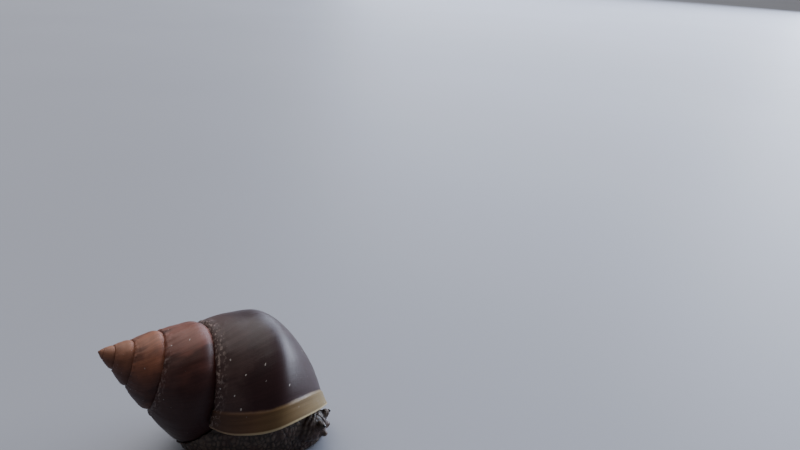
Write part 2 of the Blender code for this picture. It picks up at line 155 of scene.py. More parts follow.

# The head, from its middle
FACE_START, FACE_BLEND = 0.001, 0.003  # the face's relief grows from there, over that length
MOUTH_HEIGHT = -0.0022
MOUTH_WIDTH = 0.0014  # from the mouth's middle to each end
MOUTH_CURVE = 0.25
MOUTH_DEPTH = 0.00055
UPPER_LIP = 0.0007
UPPER_LIP_HEIGHT = 0.00025
PALP_SIDE, PALP_DROP, PALP_HEIGHT = 0.0011, 0.0012, 0.00040
CLEFT_WIDTH, CLEFT_DEPTH = 0.00028, 0.00035
GROOVE_SIDE, GROOVE_WIDTH, GROOVE_DEPTH = 0.0006, 0.00026, 0.00022
NECK_START, NECK_BLEND = 0.0045, 0.002
NECK_RINGS, RING_HEIGHT = 4600.0, 0.00012  # radians for each metre, and metres
KNOB_RADIUS, KNOB_SWELLING = 0.0013, 0.00032
KNOB_GROOVE, KNOB_GROOVE_WIDTH, KNOB_GROOVE_DEPTH = 0.0021, 0.0004, 0.00022
KNOB_RINGS, KNOB_RING_HEIGHT = 11000.0, 0.00006

# Columella and eyes
COLUMELLA_WIDTH = 0.0017
COLUMELLA_FLATNESS = 0.78
COLUMELLA_CORNERS = 28
COLUMELLA_STEPS = 60
COLUMELLA_TWIST = math.radians(9.0)  # in one step
EYE_SHARE = 0.86  # the bead's radius, as a share of the solid eye's
EYE_SUNK = 0.0002

# Colours
LOW_SHADE_LEVEL = 0.0345  # below this height, with some noise added, the shell is painted darkest: painted shade on its lower side
LOW_SHADE_BLEND = 0.010
BAND_BLEND = 0.006  # turns over which the band's edge fades in
OLDEST_SHADE = -4.6  # the turn where the shades of the shell start
SHELL_SHADES = (
    (-4.4, (0.290, 0.130, 0.076)),
    (-3.2, (0.262, 0.110, 0.062)),
    (-2.2, (0.256, 0.100, 0.056)),
    (-1.45, (0.236, 0.084, 0.048)),
    (-0.90, (0.150, 0.048, 0.032)),
    (-0.62, (0.050, 0.020, 0.018)),
    (-0.30, (0.028, 0.012, 0.013)),
)

# Floor and light
FLOOR_SIZE = 90.0
SKY_STRENGTH = 2.45
SKY_WIDTH = math.radians(60)
SKY_SHADE = (1.0, 0.96, 0.92)
SKY_DIRECTION = Vector((0.15, -0.60, -0.95))
STUDIO_STRENGTH = 0.17
LAMP_TARGET = Vector((0.0, 0.0, 0.02))

# Camera
CAMERA_PLACE = Vector((0.0273, -0.1650, 0.1075))  # from the shell's tip
CAMERA_HEADING = math.radians(20.38)
CAMERA_PITCH = math.radians(23.60)
CAMERA_ROLL = math.radians(3.43)
CAMERA_LENS = 28.26  # millimetres, for a sensor 36 wide

FLESH_NODES = [
    "mantle_collar", "foot_front", "foot_middle", "foot_tail", "head",
    "upper_tentacle_left", "upper_tentacle_right",
    "lower_tentacle_left", "lower_tentacle_right",
]
SHELL_NODES = [
    "shell_apex", "shell_whorl_3", "shell_whorl_4", "shell_penultimate_whorl",
    "shell_body_whorl", "shell_outer_lip",
]


# The spiral


def suture_depth(turn):
    return SUTURE_DEPTH * math.exp(GROWTH * turn + GROWTH_GAIN * turn * turn)


def plain_suture(turn):
    """Radius and depth of the suture without the late drop, down to the tip's tiny whorls."""
    depth = suture_depth(max(turn, NUCLEUS_TURN))
    nearness = max(0.0, (TAPER_DEPTH - depth) / (TAPER_DEPTH - TIP_DEPTH))
    radius = SPIRE_SLOPE * depth * (1.0 - TIP_TAPER * nearness**2)
    shrink = math.exp(NUCLEUS_GROWTH * min(0.0, turn - NUCLEUS_TURN))
    return np.array((radius * shrink, TIP_DEPTH + (depth - TIP_DEPTH) * shrink))


def suture(turn):
    """The suture, which slides further down the older whorl near the lip."""
    late = (turn - LIP_TURN + DROP_TURNS) / DROP_TURNS
    if late <= 0.0:
        return plain_suture(turn)
    depth = suture_depth(turn) * (1.0 + SUTURE_DROP * late * late)
    older = outline_knots(turn - 1.0)
    return curve_points(older, share_at_depth(older, depth))


def outward(chord):
    return np.stack((chord[..., 1], -chord[..., 0]), axis=-1)


def outline_knots(turn):
    """The five points that shape a whorl's section, from the suture to the base."""
    upper = suture(turn)
    lower = plain_suture(turn + 1.0)
    depth = plain_suture(turn)[1]
    base = np.array((BASE_RADIUS * depth, BASE_DEPTH * depth))
    if turn < NUCLEUS_TURN:
        base = np.array((0.1, 0.9)) * lower[0] + np.array((0.0, lower[1]))
    side = lower - upper
    underside = base - lower
    return np.array((
        upper,
        upper + 0.5 * side + WHORL_BULGE * outward(side),
        lower,
        lower + 0.5 * underside + BASE_BULGE * outward(underside),
        base,
    ))


def curve_points(knots, share):
    """Points of the smooth curve through the knots, for one outline or an array of them."""
    knots = np.asarray(knots)
    share = np.asarray(share, float)
    spans = knots.shape[-2] - 1
    index = np.clip((share * spans).astype(int), 0, spans - 1)
    inner = (knots[..., 2:, :] - knots[..., :-2, :]) / 2
    first = 2 * (knots[..., 1:2, :] - knots[..., 0:1, :]) - inner[..., 0:1, :]
    last = 2 * (knots[..., -1:, :] - knots[..., -2:-1, :]) - inner[..., -1:, :]
    slopes = np.concatenate((first, inner, last), axis=-2)

    def pick(values, at):
        return np.take_along_axis(values, at[..., None, None], axis=-2)[..., 0, :]

    u = (share * spans - index)[..., None]
    return (
        (2 * u**3 - 3 * u**2 + 1) * pick(knots, index)
        + (u**3 - 2 * u**2 + u) * pick(slopes, index)
        + (3 * u**2 - 2 * u**3) * pick(knots, index + 1)
        + (u**3 - u**2) * pick(slopes, index + 1)
    )


def share_at_depth(knots, depth):
    low, high = 0.3, 1.0
    for _ in range(22):
        middle = (low + high) / 2
        if curve_points(knots, middle)[1] < depth:
            low = middle
        else:
            high = middle
    return low


KNOT_TURNS = np.linspace(FIRST_TURN - 0.3, LIP_TURN + 0.01, 900)
KNOTS = np.array([outline_knots(turn) for turn in KNOT_TURNS])


def knots_at(turns):
    """The outline's knots for an array of turns, read between those worked out above."""
    at = (turns - KNOT_TURNS[0]) / (KNOT_TURNS[1] - KNOT_TURNS[0])
    low = np.clip(at.astype(int), 0, len(KNOT_TURNS) - 2)
    part = (at - low)[..., None, None]
    return KNOTS[low] * (1 - part) + KNOTS[low + 1] * part


def section_points(turns, share, distance):
    """Outline points for arrays of turns and shares, moved outwards by distance."""
    knots = knots_at(turns)
    inside = np.minimum(share, 1.0)
    ahead = curve_points(knots, np.minimum(inside + 0.01, 1.0))
    behind = curve_points(knots, np.maximum(inside - 0.01, 0.0))
    normal = outward(ahead - behind)
    normal /= np.linalg.norm(normal, axis=-1, keepdims=True)
    return curve_points(knots, inside) + distance[..., None] * normal


def spiral_origin():
    """Where the shell's tip lies, from the columella's box in the solids."""
    low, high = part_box("shell_columella")
    top = plain_suture(COLUMELLA_TURN)[1]
    bottom = BASE_DEPTH * suture_depth(LIP_TURN - 1.0 + COLUMELLA_REACH)
    return np.array((low + high) / 2) - AXIS * ((top + bottom) / 2 - APEX_DEPTH)


ORIGIN = spiral_origin()


def place(turns, points, forward=0.0):
    """World positions of section points, moved forward along the whorl."""
    angle = (2 * math.pi * turns + AXIS_SPIN)[..., None]
    radial = np.cos(angle) * TOP_SIDE + np.sin(angle) * LIP_SIDE
    tangent = -np.sin(angle) * TOP_SIDE + np.cos(angle) * LIP_SIDE
    depth = points[..., 1:] - APEX_DEPTH
    return ORIGIN + depth * AXIS + points[..., :1] * radial + forward * tangent


# Noise for shapes


def smooth_noise(x, y, seed):
    """Smooth random values between -1 and 1 over a plane, for arrays of x and y."""
    table = np.random.default_rng(seed).uniform(-1.0, 1.0, (NOISE_CELLS, NOISE_CELLS))
    x, y = np.broadcast_arrays(x, y)
    column, row = np.floor(x).astype(int), np.floor(y).astype(int)
    u, v = x - column, y - row
    u, v = u * u * (3 - 2 * u), v * v * (3 - 2 * v)

    def corner(right, up):
        return table[(column + right) % NOISE_CELLS, (row + up) % NOISE_CELLS]

    lower = corner(0, 0) * (1 - u) + corner(1, 0) * u
    upper = corner(0, 1) * (1 - u) + corner(1, 1) * u
    return lower * (1 - v) + upper * v


def ridge(distance, width):
    """A rounded ridge, 1 in its middle, for arrays of distances from it."""
    return np.exp(-((distance / width) ** 2))


def waist(share):
    """Where the newest band is narrow: 1 halfway along the lip, near 0 at its ends."""
    return ridge(share - 0.5, WAIST_WIDTH)


def relief(growth, share, size):
    """How far the shell's surface stands out: growth lines, dents and the crimped suture.

    growth counts turns along the growth lines, and size is the whorl's radius there.
    """
    scale = np.minimum(1.0, size / RELIEF_RADIUS)
    folds = smooth_noise(growth * 31, share * 1.6, 3)
    lines = smooth_noise(growth * 88, share * 2.5, 5)
    dents = smooth_noise(growth * 9, share * 5, 11)
    beads = smooth_noise(growth * 75, share * 9, 21)
    scales = np.maximum(0.0, smooth_noise(growth * 52, share * 34, 27) - 0.1)
    plain = FOLD_HEIGHT * folds + LINE_HEIGHT * lines + DENT_HEIGHT * dents
    crimped = ridge(share - 0.035, 0.03) * (CRIMP_HEIGHT + BEAD_HEIGHT * beads)
    loose = SCALE_HEIGHT * ridge(share - 0.07, 0.05) * scales
    return scale * (plain + crimped + loose)


def lip_flare(growth, share):
    """The newest growth steps out past the older shell, and turns out a little at its edge.

    Its band is narrower halfway along the lip, as the colours show too.
    """
    width = BAND_TURNS * (1.0 - BAND_WAIST * waist(share))
    band = np.clip((growth - (LIP_TURN - width)) / width, 0.0, 1.0)
    step = FLARE_STEP * np.clip(band / STEP_SHARE, 0.0, 1.0)
    return LIP_FLARE * (step + (1.0 - FLARE_STEP) * band * band)


# The shell's mesh


def growth_list():
    """Growth turns from the tip to the lip, about STEP apart along the whorl."""
    turns = [FIRST_TURN]
    while turns[-1] < LIP_TURN:
        radius = plain_suture(turns[-1] + 1.0)[0]
        turns.append(turns[-1] + min(STEP / (2 * math.pi * radius), 1 / FEWEST_STEPS))
    made = np.array(turns) - FIRST_TURN
    return FIRST_TURN + made * (LIP_TURN - FIRST_TURN) / made[-1]


def radius_at(turns):
    """The whorl's radius at its widest."""
    return knots_at(turns)[..., 2, 0]


def outer_section(growth, inset):
    """The outside from suture to base, for a column of growth turns."""
    share = np.linspace(0.0, 1.0, OUTER_POINTS - TUCK_POINTS)[None, :] ** CROWDING
    turns = growth - LIP_SLANT * share
    size = radius_at(turns)
    small = np.minimum(1.0, size / WALL_RADIUS)
    sunk = SUTURE_SINK * small * np.clip(1.0 - share / SINK_SHARE, 0.0, 1.0)
    flare = lip_flare(growth, share)
    points = section_points(turns, share, relief(growth, share, size) + flare - sunk - inset)
    return turns, share, points


def tucked_section(growth, inset):
    """The same, with its last points folded in to the columella."""
    turns, share, points = outer_section(growth, inset)
    tuck = np.linspace(0.0, 1.0, TUCK_POINTS + 1)[1:]
    radius, depth = points[:, -1:, :1], points[:, -1:, 1:]
    target = np.minimum(TUCK_RADIUS, 0.5 * radius)
    tuck_radius = radius + (target - radius) * tuck[None, :, None]
    tuck_depth = depth - TUCK_DROP * radius * (tuck * tuck)[None, :, None]
    folded = np.concatenate((tuck_radius, tuck_depth), axis=-1)
    turns = np.concatenate((turns, np.repeat(turns[:, -1:], TUCK_POINTS, axis=1)), axis=1)
    share = np.concatenate((share, 1.0 + 0.05 * tuck[None, :]), axis=1)
    return turns, share, np.concatenate((points, folded), axis=1)


def inner_section(growth, inset):
    """The inside from base to suture, a wall's thickness in from the outside."""
    share = np.linspace(*INNER_SHARES, INNER_POINTS)[None, :]
    turns = growth - LIP_SLANT * share
    near_lip = np.clip((growth - (LIP_TURN - RIM_TURNS)) / RIM_TURNS, 0.0, 1.0)
    small = np.minimum(1.0, radius_at(turns) / WALL_RADIUS)
    wall = (WALL + (RIM - WALL) * near_lip) * small
    wall = wall * np.clip(WALL_AT_SUTURE + WALL_GAIN * share, 0.0, 1.0)
    points = section_points(turns, share, lip_flare(growth, share) - wall + inset)
    return turns, share, points


def shell_grid(growth, inset=0.0, forward=0.0):
    """The wall's closed sections: positions, shares, whether inside, and growth turns."""
    growth = growth[:, None]
    outer_turns, outer_share, outer = tucked_section(growth, inset)
    inner_turns, inner_share, inner = inner_section(growth, inset)
    outside = place(outer_turns, outer, forward)
    points = np.concatenate((outside, place(inner_turns, inner, forward)), axis=1)
    every_row = np.zeros_like(growth)
    share = np.concatenate((outer_share, inner_share), axis=1) + every_row
    inside = np.repeat((0.0, 1.0), (OUTER_POINTS, INNER_POINTS))[None, :] + every_row
    return points, share, inside, np.broadcast_to(growth, share.shape)


def join_rows(*parts):
    return [np.concatenate(rows, axis=0) for rows in zip(*parts)]


def ring_faces(rows, count):
    """Quads between neighbouring closed rings."""
    ring = np.arange(count)
    after = (ring + 1) % count
    faces = []
    for row in range(rows - 1):
        a, b = row * count, (row + 1) * count
        faces.append(np.stack((a + ring, a + after, b + after, b + ring), axis=1))
    return np.concatenate(faces).tolist()


def cap_faces(start):
    """Closes one end of the wall, across its thickness."""
    faces = []
    inner_last = start + OUTER_POINTS + INNER_POINTS - 1
    for i in range(INNER_POINTS - 1):
        near = start + 2 * i
        far = inner_last - i
        faces.append([near, near + 1, near + 2, far - 1, far])
    return faces


def new_mesh_object(name, points, faces):
    mesh = bpy.data.meshes.new(name)
    mesh.from_pydata([tuple(p) for p in points], [], faces)
    shape = bmesh.new()
    shape.from_mesh(mesh)
    bmesh.ops.recalc_face_normals(shape, faces=shape.faces)
    if shape.calc_volume(signed=True) < 0:
        bmesh.ops.reverse_faces(shape, faces=shape.faces)
    shape.to_mesh(mesh)
    shape.free()
    mesh.shade_smooth()
    made = bpy.data.objects.new(name, mesh)
    bpy.context.scene.collection.objects.link(made)
    return made


def add_values(piece, name, values):
    """Keeps one number for each of the mesh's points, for the materials to read."""
    layer = piece.data.attributes.new(name, "FLOAT", "POINT")
    layer.data.foreach_set("value", values.astype(np.float32))


def make_shell():
    """The whole coiled wall, with a rounded rim at the lip."""
    edge = np.array([LIP_TURN])
    rim = [shell_grid(edge, inset * RIM, reach * RIM) for inset, reach in RIM_RINGS]
    points, share, inside, growth = join_rows(shell_grid(growth_list()), *rim)
    rows, count = points.shape[:2]
    faces = ring_faces(rows, count) + cap_faces(0) + cap_faces((rows - 1) * count)
    shell = new_mesh_object("shell", points.reshape(-1, 3), faces)
    add_values(shell, "growth", growth.ravel())
    add_values(shell, "share", share.ravel())
    add_values(shell, "inside", inside.ravel())
    return shell


# Materials


def feed(tree, socket, value):
    """Links a node's output to a socket, or sets the socket to a plain value."""
    if isinstance(value, bpy.types.NodeSocket):
        tree.links.new(value, socket)
    else:
        socket.default_value = value


def colour(*values):
    return (*values, 1.0)


def attribute(tree, name):
    made = tree.nodes.new("ShaderNodeAttribute")
    made.attribute_name = name
    return made.outputs["Fac"]


def maths(tree, operation, first, second=0.0):
    made = tree.nodes.new("ShaderNodeMath")
    made.operation = operation
    feed(tree, made.inputs[0], first)
    feed(tree, made.inputs[1], second)
    return made.outputs[0]


def between(tree, value, start, end, low=0.0, high=1.0):
    """Runs smoothly from low to high while the value goes from start to end."""
    made = tree.nodes.new("ShaderNodeMapRange")
    made.interpolation_type = "SMOOTHSTEP"
    feed(tree, made.inputs["Value"], value)
    made.inputs["From Min"].default_value = start
    made.inputs["From Max"].default_value = end
    made.inputs["To Min"].default_value = low
    made.inputs["To Max"].default_value = high
    return made.outputs["Result"]


def ramp(tree, value, stops):
    made = tree.nodes.new("ShaderNodeValToRGB")
    elements = made.color_ramp.elements
    while len(elements) < len(stops):
        elements.new(0.5)
    for element, (position, shade) in zip(elements, stops):
        element.position = position
        element.color = colour(*shade)
    feed(tree, made.inputs["Fac"], value)
    return made.outputs["Color"]


def mixed(tree, share, first, second, blend="MIX"):
    made = tree.nodes.new("ShaderNodeMix")
    made.data_type = "RGBA"
    made.blend_type = blend
    feed(tree, made.inputs[0], share)
    feed(tree, made.inputs[6], first)
    feed(tree, made.inputs[7], second)
    return made.outputs[2]


def grain(tree, place, scale, detail=3.0, roughness=0.55):
    made = tree.nodes.new("ShaderNodeTexNoise")
    made.inputs["Scale"].default_value = scale
    made.inputs["Detail"].default_value = detail
    made.inputs["Roughness"].default_value = roughness
    feed(tree, made.inputs["Vector"], place)
    return made.outputs["Fac"]


def cells(tree, place, scale):
    made = tree.nodes.new("ShaderNodeTexVoronoi")
    made.inputs["Scale"].default_value = scale
    feed(tree, made.inputs["Vector"], place)
    return made.outputs["Distance"]


def object_place(tree):
    return tree.nodes.new("ShaderNodeTexCoord").outputs["Object"]


def shell_place(tree, growth, share, along, across):
    """Coordinates that follow the shell: along its growth, and across each whorl."""
    made = tree.nodes.new("ShaderNodeCombineXYZ")
    feed(tree, made.inputs["X"], maths(tree, "MULTIPLY", growth, along))
    feed(tree, made.inputs["Y"], maths(tree, "MULTIPLY", share, across))
    return made.outputs[0]


def bump(tree, shader, height, depth, strength=1.0):
    made = tree.nodes.new("ShaderNodeBump")
    made.inputs["Strength"].default_value = strength
    made.inputs["Distance"].default_value = depth
    feed(tree, made.inputs["Height"], height)
    tree.links.new(made.outputs["Normal"], shader.inputs["Normal"])


def new_material(name):
    made = bpy.data.materials.new(name)
    made.use_nodes = True
    return made, made.node_tree, made.node_tree.nodes["Principled BSDF"]


class ShellLook:
    """The shell's shader, and the values that all its markings start from."""

    def __init__(self, tree):
        self.tree = tree
        self.growth = attribute(tree, "growth")
        self.share = attribute(tree, "share")
        self.place = object_place(tree)
        self.streaks = self.along(170.0, 2.2)

    def along(self, lengthwise, across, detail=2.0):
        """Noise that follows the shell, finer or coarser along its growth and across a whorl."""
        tree = self.tree
        place = shell_place(tree, self.growth, self.share, lengthwise, across)
        return grain(tree, place, 1.0, detail)

    def times(self, first, second):
        return maths(self.tree, "MULTIPLY", first, second)

    def plus(self, first, second):
        return maths(self.tree, "ADD", first, second)

    def older_shades(self):
        """Tan at the tip, brown in the middle and dark at the body whorl."""
        age = between(self.tree, self.growth, OLDEST_SHADE, LIP_TURN)
        age.node.interpolation_type = "LINEAR"
        turns = LIP_TURN - OLDEST_SHADE
        stops = [((turn - OLDEST_SHADE) / turns, shade) for turn, shade in SHELL_SHADES]
        return ramp(self.tree, age, stops)

    def flames(self):
        """Dark marks across the growth, most of all on the penultimate whorl."""
        marks = between(self.tree, self.along(11.0, 1.3, 3.0), 0.47, 0.60)
        marks = self.times(marks, between(self.tree, self.growth, -0.9, -0.3, 0.90, 0.30))
        return self.times(marks, between(self.tree, self.growth, -2.5, -1.3, 0.12, 1.0))

    def painted_low_shade(self):
        """Painted shade: how much darker the lower side is painted, as if in shadow, with a
        cloudy edge.
        """
        height = self.tree.nodes.new("ShaderNodeSeparateXYZ")
        feed(self.tree, height.inputs[0], self.place)
        clouds = self.times(grain(self.tree, self.place, 190.0, 3.0), 0.012)
        level = self.plus(height.outputs["Z"], clouds)
        return between(self.tree, level, LOW_SHADE_LEVEL + LOW_SHADE_BLEND, LOW_SHADE_LEVEL, 0.0, 0.72)

    def worn(self):
        """Where the brown outer layer is scuffed, most of all at each whorl's shoulder."""
        patches = grain(self.tree, self.place, 150.0, 4.0, 0.6)
        shoulder = between(self.tree, self.share, 0.05, 0.45, 0.60, 0.0)
        amount = self.plus(self.times(patches, 0.9), shoulder)
        body = between(self.tree, self.growth, -1.0, -0.6, 0.35, 1.0)
        return self.times(between(self.tree, amount, 0.62, 1.05), body)

    def scales(self):
        """Pale loose scales below the body whorl's suture."""
        flakes = between(self.tree, self.along(90.0, 48.0, 3.0), 0.52, 0.61)
        near_suture = between(self.tree, self.share, 0.03, 0.11, 1.0, 0.0)
        newer = between(self.tree, self.growth, -1.0, -0.6, 0.12, 0.70)
        return self.times(self.times(flakes, near_suture), newer)

    def in_band(self):
        """Where the newest growth is, from a ragged edge to the lip."""
        edge = self.plus(self.growth, self.times(self.along(0.0, 14.0, 3.0), 0.005))
        shares = [0.1 * i for i in range(11)]
        narrow = ramp(self.tree, self.share, [(at, (float(waist(at)),) * 3) for at in shares])
        narrowing = self.times(narrow, BAND_TURNS * BAND_WAIST)
        edge = maths(self.tree, "SUBTRACT", edge, narrowing)
        start = LIP_TURN - BAND_TURNS
        return between(self.tree, edge, start, start + BAND_BLEND)

    def band_shades(self):
        """Brown near the suture, running to yellow-olive down the lip."""
        shades = ramp(self.tree, self.share, (
            (0.05, (0.065, 0.032, 0.020)),
            (0.30, (0.105, 0.054, 0.028)),
            (0.55, (0.170, 0.108, 0.044)),
            (0.90, (0.250, 0.185, 0.074)),
        ))
        return self.streaked(shades, 0.5, (0.30, (0.55, 0.50, 0.45)), 0.65)

    def streaked(self, shades, strength, darkest, lightest_at):
        """The same shades with darker streaks along the growth lines."""
        lines = ramp(self.tree, self.streaks, (darkest, (lightest_at, (1.0, 1.0, 1.0))))
        return mixed(self.tree, strength, shades, lines, "MULTIPLY")

    def rim_colour_and_highlight(self):
        """The lip's edge, brown near the suture and pale further down, partly as a painted
        highlight.
        """
        return ramp(self.tree, self.share, (
            (0.05, (0.230, 0.150, 0.095)),
            (0.60, (0.480, 0.390, 0.220)),
        ))

    def base_colour(self, worn, scales):
        """All the markings and the painted shade and highlight, from the oldest shades to the
        pale inside.
        """
        tree = self.tree
        shades = mixed(tree, self.flames(), self.older_shades(), colour(0.048, 0.014, 0.010))
        # Painted shade: the lower side is darkened towards this dark brown
        shades = mixed(tree, self.painted_low_shade(), shades, colour(0.036, 0.014, 0.014))
        shades = mixed(tree, self.times(worn, 0.32), shades, colour(0.125, 0.078, 0.068))
        shades = self.streaked(shades, 0.35, (0.30, (0.35, 0.33, 0.32)), 0.70)
        shades = mixed(tree, self.in_band(), shades, self.band_shades())
        shades = mixed(tree, scales, shades, colour(0.270, 0.205, 0.180))
        flecks = between(tree, self.along(72.0, 30.0, 1.0), 0.750, 0.780)
        shades = mixed(tree, flecks, shades, colour(0.40, 0.36, 0.33))
        # The rim's pale line is partly the lip's own edge and partly a painted highlight
        rim = between(tree, self.growth, LIP_TURN - 0.0045, LIP_TURN - 0.0012)
        shades = mixed(tree, rim, shades, self.rim_colour_and_highlight())
        inside = between(tree, attribute(tree, "inside"), 0.35, 0.75)
        return mixed(tree, inside, shades, colour(0.52, 0.53, 0.56))

    def roughness(self, worn, scales):
        """Rougher where it is worn, on the scales and on the old whorls."""
        rough = self.plus(self.times(worn, 0.20), 0.38)
        rough = self.plus(rough, self.times(scales, 0.25))
        return self.plus(rough, between(self.tree, self.growth, -1.2, -0.5, 0.12, 0.0))

    def height(self, scales):
        """Growth lines, fainter spiral lines, fine grain and the loose scales."""
        height = self.plus(self.along(330.0, 3.0), self.times(self.along(9.0, 110.0), 0.30))
        height = self.plus(height, self.times(grain(self.tree, self.place, 900.0), 0.40))
        return self.plus(height, self.times(scales, 1.4))


def make_shell_material():
    made, tree, shader = new_material("shell_skin")
    look = ShellLook(tree)
    worn, scales = look.worn(), look.scales()
    feed(tree, shader.inputs["Base Color"], look.base_colour(worn, scales))
    feed(tree, shader.inputs["Roughness"], look.roughness(worn, scales))
    shader.inputs["Specular IOR Level"].default_value = 0.22
    shader.inputs["Coat Weight"].default_value = 0.06
    shader.inputs["Coat Roughness"].default_value = 0.30
    bump(tree, shader, look.height(scales), 0.00005, 0.7)
    return made


def skin_colour(tree, place):
    """Dark brown with a painted highlight on tops, a greyer mantle, reddish patches and pale
    flecks.
    """
    # Painted highlight and shade: the skin is painted lighter where it stands out and darker in
    # its hollows
    shade = ramp(tree, attribute(tree, "fold"), (
        (0.10, (0.018, 0.012, 0.009)),
        (0.45, (0.052, 0.035, 0.025)),
        (0.90, (0.112, 0.080, 0.056)),
    ))
    mantle = maths(tree, "MULTIPLY", attribute(tree, "mantle"), 0.8)
    shade = mixed(tree, mantle, shade, ramp(tree, grain(tree, place, 420.0, 3.0), (
        (0.35, (0.060, 0.048, 0.034)),
        (0.65, (0.120, 0.100, 0.068)),
    )))
    patches = between(tree, grain(tree, place, 110.0, 3.0), 0.46, 0.66)
    patches = maths(tree, "MULTIPLY", patches, 0.55)
    shade = mixed(tree, patches, shade, colour(0.066, 0.028, 0.022))
    flecks = between(tree, grain(tree, place, 1500.0, 2.0), 0.60, 0.74)
    flecks = maths(tree, "MULTIPLY", flecks, 0.45)
    return mixed(tree, flecks, shade, colour(0.120, 0.105, 0.085))


def make_skin_material():
    made, tree, shader = new_material("moist_skin")
    place = object_place(tree)
    feed(tree, shader.inputs["Base Color"], skin_colour(tree, place))
    rough = between(tree, grain(tree, place, 700.0, 2.0), 0.3, 0.7, 0.44, 0.66)
    feed(tree, shader.inputs["Roughness"], rough)
    shader.inputs["Specular IOR Level"].default_value = 0.36
    shader.inputs["Coat Weight"].default_value = 0.10
    shader.inputs["Coat Roughness"].default_value = 0.36
    shader.inputs["Subsurface Weight"].default_value = 0.06
    shader.inputs["Subsurface Scale"].default_value = 0.0015
    fine = maths(tree, "MULTIPLY", grain(tree, place, 3200.0), 0.6)
    height = maths(tree, "ADD", cells(tree, place, 1500.0), fine)
    bump(tree, shader, height, 0.00012, 0.6)
    return made


def make_columella_material():
    made, tree, shader = new_material("columella_enamel")
    place = object_place(tree)
    clouds = grain(tree, place, 260.0, 3.0)
    shade = ramp(tree, clouds, ((0.35, (0.46, 0.42, 0.38)), (0.65, (0.60, 0.60, 0.62))))
    feed(tree, shader.inputs["Base Color"], shade)
    feed(tree, shader.inputs["Roughness"], between(tree, clouds, 0.3, 0.7, 0.18, 0.32))
    bump(tree, shader, grain(tree, place, 1400.0), 0.00005, 0.5)
    return made


def make_eye_material():
    made, tree, shader = new_material("eye_lens")
    place = object_place(tree)
    depth = grain(tree, place, 2400.0, 2.0)
    shade = ramp(tree, depth, ((0.35, (0.004, 0.004, 0.005)), (0.70, (0.018, 0.014, 0.012))))
    feed(tree, shader.inputs["Base Color"], shade)
    feed(tree, shader.inputs["Roughness"], between(tree, depth, 0.3, 0.7, 0.06, 0.14))
    shader.inputs["Coat Weight"].default_value = 0.8
    shader.inputs["Coat Roughness"].default_value = 0.05
    bump(tree, shader, depth, 0.00002, 0.2)
    return made


def make_floor_material():
    made, tree, shader = new_material("pale_floor")
    shade = ramp(tree, grain(tree, object_place(tree), 2.0), (
        (0.40, (0.228, 0.238, 0.274)),
        (0.60, (0.240, 0.250, 0.286)),
    ))
    feed(tree, shader.inputs["Base Color"], shade)
    shader.inputs["Roughness"].default_value = 0.55
    return made


# The skin


def deselect_all():
    for thing in bpy.context.view_layer.objects:
        thing.select_set(False)


def select_only(piece):
    deselect_all()
    piece.select_set(True)
    bpy.context.view_layer.objects.active = piece


def apply_modifier(piece, kind, **settings):
    step = piece.modifiers.new(kind.lower(), kind)
    for key, value in settings.items():
        setattr(step, key, value)
    select_only(piece)
    bpy.ops.object.modifier_apply(modifier=step.name)


def flesh_copy(name):
    """A merged copy of a node of flesh, swollen a little so that it meets its neighbours."""
    shape = bmesh.new()
    shape.from_mesh(frame["nodes"][name].data)
    bmesh.ops.remove_doubles(shape, verts=shape.verts, dist=1e-6)
    mesh = bpy.data.meshes.new(name + "_flesh")
    shape.to_mesh(mesh)
    shape.free()
    made = bpy.data.objects.new(name + "_flesh", mesh)
    bpy.context.scene.collection.objects.link(made)
    apply_modifier(made, "DISPLACE", strength=SWELLING, mid_level=0.0)
    return made


def linked_piece(start):
    """Every point joined to a point by edges."""
    piece = {start}
    border = [start]
    while border:
        point = border.pop()
        for edge in point.link_edges:
            other = edge.other_vert(point)
            if other not in piece:
                piece.add(other)
                border.append(other)
    return piece


def keep_outer_surface(skin):
    """Drops the small bubble that the remeshing can leave inside the body."""
    shape = bmesh.new()
    shape.from_mesh(skin.data)
    farthest = max(shape.verts, key=lambda point: point.co.x)
    outer = linked_piece(farthest)
    bubbles = [point for point in shape.verts if point not in outer]
    bmesh.ops.delete(shape, geom=bubbles, context="VERTS")
    shape.to_mesh(skin.data)
    shape.free()


def joined_flesh():
    copies = [flesh_copy(name) for name in FLESH_NODES]
    deselect_all()
    for made in copies:
        made.select_set(True)
    bpy.context.view_layer.objects.active = copies[0]
    bpy.ops.object.join()
    skin = bpy.context.object
    skin.name = "skin"
    skin.data.materials.clear()
    apply_modifier(skin, "REMESH", mode="VOXEL", voxel_size=SKIN_MESH)
    keep_outer_surface(skin)
    apply_modifier(skin, "SMOOTH", factor=0.5, iterations=6)
    apply_modifier(skin, "DISPLACE", strength=-SWELLING - SKIN_DEPTH, mid_level=0.0)
    return skin


def bell(distance, width):
    """A rounded ridge, 1 in its middle, for one distance from it."""
    return math.exp(-((distance / width) ** 2))


def limited(value):
    return min(1.0, max(0.0, value))


def middle_of(name):
    low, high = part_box(name)
    return (Vector(low) + Vector(high)) / 2


def surface_of(names):
    """A search tree over some nodes' surfaces."""
    corners, faces = [], []
    for name in names:
        mesh = frame["nodes"][name].data
        start = len(corners)
        corners.extend(point.co.copy() for point in mesh.vertices)
        faces.extend([start + corner for corner in face.vertices] for face in mesh.polygons)
    return BVHTree.FromPolygons(corners, faces)


def share_of(place, nearest, others):
    """How much a place belongs to one surface rather than the others: 1 on it, 0 on them."""
    gap = nearest.find_nearest(place)[3] - others.find_nearest(place)[3]
    return limited(0.5 - gap / REGION_BLEND)


